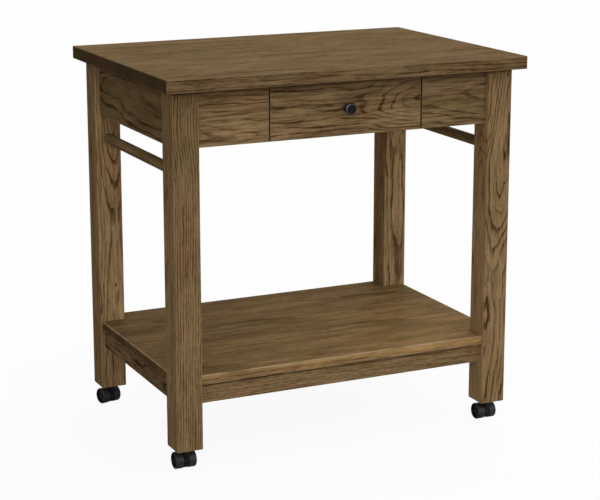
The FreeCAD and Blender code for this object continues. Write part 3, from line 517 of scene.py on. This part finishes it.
def sweepRound(profile, base, axis, around=96):
    # A profile of (radius, height) carried round an axis: point = base + axis*height + radius*(cos, sin)
    # in the plane across it. The profile starts and ends on the axis.
    axis = np.array(axis, float) / np.linalg.norm(axis)
    sideways = np.cross(axis, (0.0, 0.0, 1.0) if abs(axis[2]) < 0.9 else (1.0, 0.0, 0.0))
    sideways /= np.linalg.norm(sideways)
    upward = np.cross(axis, sideways)
    angle = np.linspace(0.0, 2 * math.pi, around, endpoint=False)
    spokes = np.cos(angle)[:, None] * sideways + np.sin(angle)[:, None] * upward
    middle = profile[1:-1]
    rings = middle[:, None, :1] * spokes[None] + middle[:, None, 1:] * axis
    ends = profile[[0, -1], 1:] * axis
    points = np.concatenate([ends[:1], rings.reshape(-1, 3), ends[1:]]) + np.array(base)
    return points, wrapFaces(len(middle), around)


def bend(centre, radius, start, end, count=7):
    # An arc of a profile, angles in degrees: point = centre + radius*(cos, sin).
    turn = np.radians(np.linspace(start, end, count))
    return np.stack([centre[0] + radius * np.cos(turn), centre[1] + radius * np.sin(turn)], axis=-1)


knob = {"foot": 0.0100, "footEdge": 0.0015, "footHeight": 0.0045, "footCurve": 2.2, "neck": 0.0055,
        "waist": 0.0075, "headCurve": 2.6, "head": 0.0140, "reach": 0.0250, "rim": 0.0040,
        "bevel": 0.0035, "round": 0.0007, "dome": 0.97}
blackCoat = {"even": paint(14, 14, 20), "hazy": paint(24, 24, 32), "rubbed": paint(104, 102, 101),
             "turning": 3000.0, "haze": 220.0, "roughness": 0.2}


def knobProfile():
    # The neck is a waist between foot and head: radius = neck + (head - neck)*t**headCurve towards the
    # head, and in the same way towards the foot. The head has a straight rim, a bevel and a domed face.
    t = np.linspace(0.0, 1.0, 14)
    underHead = knob["reach"] - knob["bevel"] - knob["rim"]
    foot = np.stack([knob["neck"] + (knob["foot"] - knob["neck"]) * (1 - t) ** knob["footCurve"],
                     knob["footEdge"] + t * knob["footHeight"]], axis=-1)
    flare = np.stack([knob["neck"] + (knob["head"] - knob["neck"]) * t ** knob["headCurve"],
                      knob["waist"] + t * (underHead - knob["waist"])], axis=-1)
    rimEnd = knob["reach"] - knob["bevel"]
    rim = np.array([[knob["head"], rimEnd - knob["round"] * 0.5],
                    [knob["head"] - knob["round"] * 0.5, rimEnd + knob["round"] * 0.3]])
    faceEdge = knob["head"] - knob["bevel"]
    bevel = np.array([[faceEdge + knob["round"], knob["reach"] - knob["round"] * 0.8],
                      [faceEdge, knob["reach"] - knob["round"] * 0.3]])
    s = np.linspace(1.0, 0.0, 6)
    dome = np.stack([faceEdge * s * knob["dome"], knob["reach"] - knob["round"] * 0.3 * s ** 2], axis=-1)
    return np.concatenate([[[0.0, 0.0], [knob["foot"], 0.0]], foot, flare, rim, bevel, dome])


def blackFinish(axisX, axisZ, front):  # satin black coat over turned metal, rubbed bright on its bevel
    finish = newFinish("satin black metal")
    parts = finish.split(finish.place())
    turning = finish.noise(finish.join(parts[1] * blackCoat["turning"], parts[0] * 60.0, parts[2] * 60.0),
                           1.0, 2.0, 0.5)
    haze = finish.noise(finish.place(), blackCoat["haze"], 3.0, 0.55)
    across, up = parts[0] - axisX, parts[2] - axisZ
    radius = (across * across + up * up) ** 0.5
    faceEdge = knob["head"] - knob["bevel"]
    rubbed = radius.ramp(faceEdge, faceEdge + 0.0008) * parts[1].ramp(
        front + knob["bevel"], front + knob["bevel"] + 0.0010, 1.0, 0.0)
    rubbed = rubbed * haze.ramp(0.3, 0.55, 0.55, 1.0)
    colour = finish.blend(haze.ramp(0.4, 0.75), blackCoat["even"], blackCoat["hazy"])
    colour = finish.blend(rubbed, colour, blackCoat["rubbed"])
    roughness = blackCoat["roughness"] + (haze - 0.5) * 0.2
    return finish.close({"Base Color": colour, "Roughness": roughness, "Metallic": rubbed},
                        turning, 0.00002, Specular_IOR_Level=0.2)


low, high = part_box("drawer_knob")
middle = (low + high) / 2
points, faces = sweepRound(knobProfile(), (middle.x, high.y, middle.z), (0, -1, 0))
turnedKnob = meshPiece("turned_knob", points, faces,
                       blackFinish(middle.x, middle.z, high.y - knob["reach"]))
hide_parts("drawer_knob")
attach(turnedKnob, "drawer")
print("knob turned")


wheel = {"radius": 0.0200, "width": 0.0185, "shoulder": 0.0030, "crown": 0.0002, "wall": 0.0040,
         "recess": 0.0050, "dish": 0.0045, "lip": 0.0010, "slope": 0.0012, "hub": 0.0060,
         "hubRise": 0.0015, "bore": 0.00305, "boreDepth": 0.01225, "round": 0.0006}


def wheelProfile():
    # Bore, hub and recess of the inner face, then the tread with a slight crown, a rounded shoulder, a
    # dished outer face that falls as a smooth step, and a small domed hub.
    small = wheel["round"]
    inner = np.array([[0.0, wheel["boreDepth"]], [wheel["bore"], wheel["boreDepth"]], [wheel["bore"], 0.0],
                      [wheel["hub"], 0.0], [wheel["hub"], wheel["recess"]],
                      [wheel["radius"] - wheel["wall"], wheel["recess"]],
                      [wheel["radius"] - wheel["wall"], 0.0]])
    corner = bend((wheel["radius"] - small, small), small, -90, 0, 5)
    t = np.linspace(-1.0, 1.0, 7)[1:-1]
    treadHalf = (wheel["width"] - wheel["shoulder"] - small) / 2
    tread = np.stack([wheel["radius"] - wheel["crown"] * t ** 2, small + treadHalf * (1 + t)], axis=-1)
    shoulder = bend((wheel["radius"] - wheel["shoulder"], wheel["width"] - wheel["shoulder"]),
                    wheel["shoulder"], 0, 90, 12)
    edge = wheel["radius"] - wheel["shoulder"] - wheel["lip"]
    s = np.linspace(0.0, 1.0, 9)
    fallen = wheel["dish"] * s * s * (3 - 2 * s)
    fall = np.stack([edge - wheel["slope"] * s, wheel["width"] - fallen], axis=-1)
    floor = wheel["width"] - wheel["dish"]
    top = floor + wheel["hubRise"]
    hubEdge = bend((wheel["hub"] - small, top - small), small, 0, 90, 5)
    cap = np.concatenate([[[wheel["hub"], floor]], hubEdge])
    return np.concatenate([inner, corner, tread, shoulder, fall, cap, [[0.0, top]]])


def wheelHollowShade(profile, around=96):  # where painted shade goes: 1 in the dish of the outer face and on its hub, 0 elsewhere
    dished = profile[:, 1] >= wheel["width"] - wheel["dish"] - 1e-9
    inside = profile[:, 0] < wheel["radius"] - wheel["shoulder"] - wheel["lip"] - wheel["slope"] * 0.2
    hollow = (dished & inside).astype(float)
    return np.concatenate([hollow[:1], np.repeat(hollow[1:-1], around), hollow[-1:]])


swivel = {"trail": 0.010, "discRadius": 0.019, "discHeight": 0.020, "thick": 0.0125, "round": 0.0022,
          "heart": 0.030, "neckLow": 0.020, "neckBroad": 0.018, "neckHalf": 0.011, "neckTop": 0.0425,
          "flange": 0.012, "flangeLow": 0.0415, "flangeHigh": 0.0465,
          "collar": 0.007, "collarTop": 0.0502, "stem": 0.004, "stemTop": 0.0842, "edge": 0.001}


def stemProfile():  # flange with rounded edges, thrust collar and pointed stem
    e = swivel["edge"]
    return np.concatenate([
        [[0.0, swivel["flangeLow"]]],
        bend((swivel["flange"] - e, swivel["flangeLow"] + e), e, -90, 0, 6),
        bend((swivel["flange"] - e, swivel["flangeHigh"] - e), e, 0, 90, 6),
        [[swivel["collar"], swivel["flangeHigh"]], [swivel["collar"], swivel["collarTop"]],
         [swivel["stem"], swivel["collarTop"]], [swivel["stem"], swivel["stemTop"] - e],
         [swivel["stem"] - e, swivel["stemTop"]], [0.0, swivel["stemTop"]]]])


def bodyShell(across, trailing, corner):
    # The caster's body between its wheels, round a middle point: its reach in each direction is the
    # further of a disc's and a neck's, and its rim is rounded as a quarter circle at each side.
    angle = np.linspace(0.0, 2 * math.pi, 120, endpoint=False)
    way = np.stack([np.cos(angle), np.sin(angle)], axis=-1)
    heart = np.array([swivel["trail"] * 0.5, swivel["heart"]])
    disc = np.array([swivel["trail"], swivel["discHeight"]])
    back = (way * (disc - heart)).sum(1)
    discReach = back + np.sqrt(back ** 2 + swivel["discRadius"] ** 2 - ((disc - heart) ** 2).sum())
    neck = np.array([[swivel["trail"] - swivel["neckBroad"], swivel["neckLow"]],
                     [swivel["trail"] + swivel["neckBroad"], swivel["neckLow"]],
                     [swivel["neckHalf"], swivel["neckTop"]], [-swivel["neckHalf"], swivel["neckTop"]]])
    run = np.roll(neck, -1, axis=0) - neck
    outward = np.stack([run[:, 1], -run[:, 0]], axis=-1)
    gap = ((neck - heart) * outward).sum(1)
    slope = way @ outward.T
    neckReach = np.min(np.where(slope > 1e-9, gap / np.maximum(slope, 1e-9), 1.0), axis=1)
    reach = np.maximum(discReach, neckReach)
    t = np.linspace(0.0, math.pi / 2, 6)
    half, r = swivel["thick"] / 2, swivel["round"]
    offset = np.concatenate([-half + r - r * np.cos(t), half - r + r * np.cos(t[::-1])])
    inset = np.concatenate([r - r * np.sin(t), r - r * np.sin(t[::-1])])
    rim = heart + (reach[None, :, None] - inset[:, None, None]) * way[None]
    across, trailing = np.array(across, float), np.array(trailing, float)
    rows = (offset[:, None, None] * across + rim[:, :, :1] * trailing + rim[:, :, 1:] * (0.0, 0.0, 1.0))
    poles = [heart[0] * trailing + (0.0, 0.0, heart[1]) + offset[k] * across for k in (0, -1)]
    points = np.concatenate([[poles[0]], rows.reshape(-1, 3), [poles[1]]]) + np.array(corner)
    return points, wrapFaces(len(offset), len(angle))


joints = {joint["name"]: joint for joint in frame["joints"]}
for caster in ("caster_front_left", "caster_front_right", "caster_back_left", "caster_back_right"):
    stemPlace = joints[caster + "_turn"]["pos_m"]
    corner = (stemPlace[0], stemPlace[1], 0.0)
    across = joints[caster + "_wheel_right_spin"]["axis"]
    trailing = (-across[1], across[0], 0.0)
    pieces = {"stem": sweepRound(stemProfile(), corner, (0, 0, 1), 64),
              "body": bodyShell(across, trailing, corner)}
    for word, (points, faces) in pieces.items():
        piece = meshPiece(caster + "_" + word, points, faces, casterPlastic)
        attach(piece, caster)
        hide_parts(caster + "_swivel")
    for way, word in ((-1, "left"), (1, "right")):
        node = "%s_wheel_%s" % (caster, word)
        outward = np.array(across) * way
        base = np.array(joints[node + "_spin"]["pos_m"]) - outward * (wheel["width"] / 2)
        profile = wheelProfile()
        piece = meshPiece(node + "_moulded", *sweepRound(profile, base, outward), wheelPlastic,
                          hollow=wheelHollowShade(profile))
        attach(piece, node)
        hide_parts(node)
print("casters moulded: 4, wheels: 8")


picture = {"width": 600, "height": 500, "focal": 1758.29, "middle": (300.0, 214.0)}  # pixels
eye = {"place": (-1.8039, -3.8237, 1.4754), "heading": -25.41, "pitch": -12.87}  # metres, degrees

camera = bpy.data.objects.new("camera", bpy.data.cameras.new("camera"))
bpy.context.scene.collection.objects.link(camera)
camera.data.sensor_width = 36.0
camera.data.lens = picture["focal"] / picture["width"] * camera.data.sensor_width
camera.data.shift_x = (picture["width"] / 2 - picture["middle"][0]) / picture["width"]
camera.data.shift_y = (picture["middle"][1] - picture["height"] / 2) / picture["width"]
heading, pitch = math.radians(-eye["heading"]), math.radians(eye["pitch"])
gaze = Vector((math.sin(heading) * math.cos(pitch), math.cos(heading) * math.cos(pitch), math.sin(pitch)))
camera.location = eye["place"]
camera.rotation_euler = gaze.to_track_quat("-Z", "Y").to_euler()
bpy.context.scene.camera = camera
bpy.context.scene.view_settings.view_transform = "Standard"


studio = {
    "lights": (((-0.16, -0.97, 0.18), -0.10, 1.36),   # soft lights: towards, where each fades out
               ((0.80, 0.60, 0.08), -0.03, 1.95)),    # (as the cosine of the angle to it), strength
    "dim": 0.03,                      # light from everywhere else
    "backdrop": 1.0,                  # the pale background itself
    "floor": 0.95,                    # the floor as the camera sees it,
    "evenness": 0.93,                 # how much of that is even light, on which no shadow falls
    "bounce": (0.45, 0.42, 0.37, 1.0),  # what the floor gives back to the cart
}


def lightRoom():
    # Broad soft lights in an otherwise dim room: each one's strength is a smooth step of the angle to
    # its middle. The camera sees an even pale background instead.
    room = bpy.data.worlds.new("room")
    bpy.context.scene.world = room
    sky = Finish(room)
    strength = studio["dim"]
    for towards, edge, power in studio["lights"]:
        turned = sky.node("VectorMath", {"operation": "DOT_PRODUCT"}, {
            0: sky.node("TexCoord", output="Generated"), 1: Vector(towards).normalized()}, "Value")
        strength = turned.ramp(edge, 1.0, 0.0, power) + strength
    glow = sky.node("Background", {}, {"Color": (1.0, 1.0, 1.0, 1.0), "Strength": strength})
    pale = sky.node("Background", {}, {"Color": (1.0, 1.0, 1.0, 1.0), "Strength": studio["backdrop"]})
    seen = sky.node("LightPath", output="Is Camera Ray")
    sky.node("OutputWorld", {}, {"Surface": sky.node("MixShader", {}, {0: seen, 1: glow, 2: pale})})


def layFloor(reach=60.0):
    mesh = bpy.data.meshes.new("floor")
    mesh.from_pydata([(-reach, -reach, 0), (reach, -reach, 0), (reach, reach, 0), (-reach, reach, 0)], [],
                     [(0, 1, 2, 3)])
    floor = bpy.data.objects.new("floor", mesh)
    bpy.context.scene.collection.objects.link(floor)
    finish = newFinish("pale floor")
    grey = finish.node("BsdfDiffuse", {}, {"Color": studio["bounce"]})
    pale = finish.node("BsdfDiffuse", {}, {"Color": (studio["floor"],) * 3 + (1.0,)})
    glow = finish.node("Emission", {}, {"Color": (1.0, 1.0, 1.0, 1.0), "Strength": studio["backdrop"]})
    pale = finish.node("MixShader", {}, {0: studio["evenness"], 1: pale, 2: glow})
    seen = finish.node("LightPath", output="Is Camera Ray")
    both = finish.node("MixShader", {}, {0: seen, 1: grey, 2: pale})
    finish.node("OutputMaterial", {}, {"Surface": both})
    mesh.materials.append(finish.owner)


lightRoom()
layFloor()
print("camera, light and floor set")
